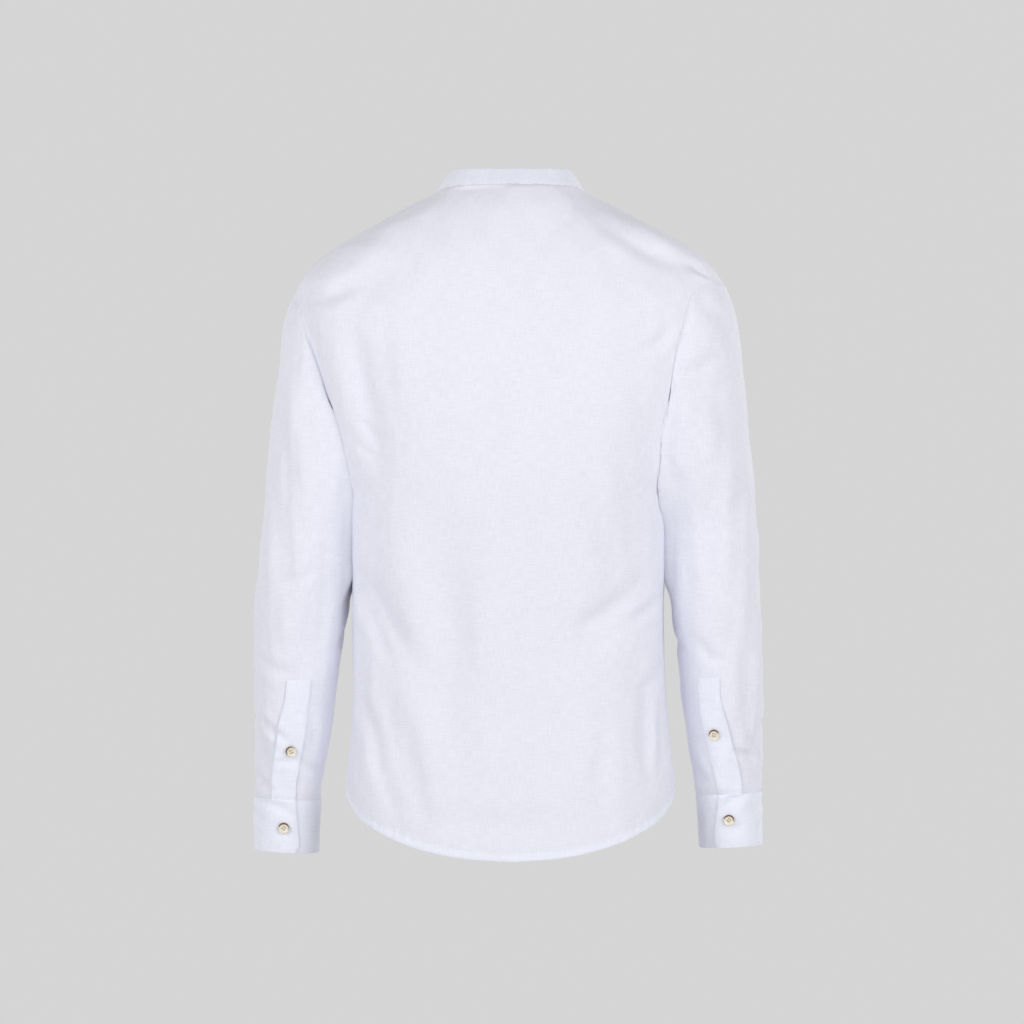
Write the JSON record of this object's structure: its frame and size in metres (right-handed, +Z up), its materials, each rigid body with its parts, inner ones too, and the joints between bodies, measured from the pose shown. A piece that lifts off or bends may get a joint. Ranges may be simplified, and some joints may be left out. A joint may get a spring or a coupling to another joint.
{
  "type": "long-sleeved shirt with a band collar",
  "caption": "Long-sleeved linen shirt with a band collar, buttoned front, sleeve plackets, buttoned cuffs and a rounded hem, filled out as worn and hollow.",
  "frame": {"origin": "in the middle of the neck opening, level with the sides of the neck, where the wearer's shoulders hold the shirt up", "axes": "+Z up along the body, -Y out of the buttoned front, +X to the wearer's left"},
  "size_m": [0.5723, 0.2406, 0.7689],
  "materials": {
    "back": "plain-woven linen, washed, matt",
    "front_left": "plain-woven linen, washed, matt",
    "front_right": "plain-woven linen, washed, matt",
    "collar": "plain-woven linen, washed, matt",
    "sleeve_left": "plain-woven linen, washed, matt",
    "sleeve_right": "plain-woven linen, washed, matt",
    "sleeve_placket_left": "plain-woven linen, washed, matt",
    "sleeve_placket_right": "plain-woven linen, washed, matt",
    "cuff_left": "plain-woven linen, washed, matt",
    "cuff_right": "plain-woven linen, washed, matt",
    "button_front_1": "polished shell-like button, cream with brown marbling",
    "button_front_2": "polished shell-like button, cream with brown marbling",
    "button_front_3": "polished shell-like button, cream with brown marbling",
    "button_front_4": "polished shell-like button, cream with brown marbling",
    "button_front_5": "polished shell-like button, cream with brown marbling",
    "button_front_6": "polished shell-like button, cream with brown marbling",
    "button_front_7": "polished shell-like button, cream with brown marbling",
    "button_collar": "polished shell-like button, cream with brown marbling",
    "button_placket_left": "polished shell-like button, cream with brown marbling",
    "button_placket_right": "polished shell-like button, cream with brown marbling",
    "button_cuff_left": "polished shell-like button, cream with brown marbling",
    "button_cuff_right": "polished shell-like button, cream with brown marbling"
  },
  "bodies": {
    "root": {"back": "back", "front_left": "front_left", "front_right": "front_right", "collar": "collar", "sleeve_left": "sleeve_left", "sleeve_right": "sleeve_right", "sleeve_placket_left": "sleeve_placket_left", "sleeve_placket_right": "sleeve_placket_right", "cuff_left": "cuff_left", "cuff_right": "cuff_right", "button_front_1": "button_front_1", "button_front_2": "button_front_2", "button_front_3": "button_front_3", "button_front_4": "button_front_4", "button_front_5": "button_front_5", "button_front_6": "button_front_6", "button_front_7": "button_front_7", "button_collar": "button_collar", "button_placket_left": "button_placket_left", "button_placket_right": "button_placket_right", "button_cuff_left": "button_cuff_left", "button_cuff_right": "button_cuff_right"}
  },
  "joints": []
}
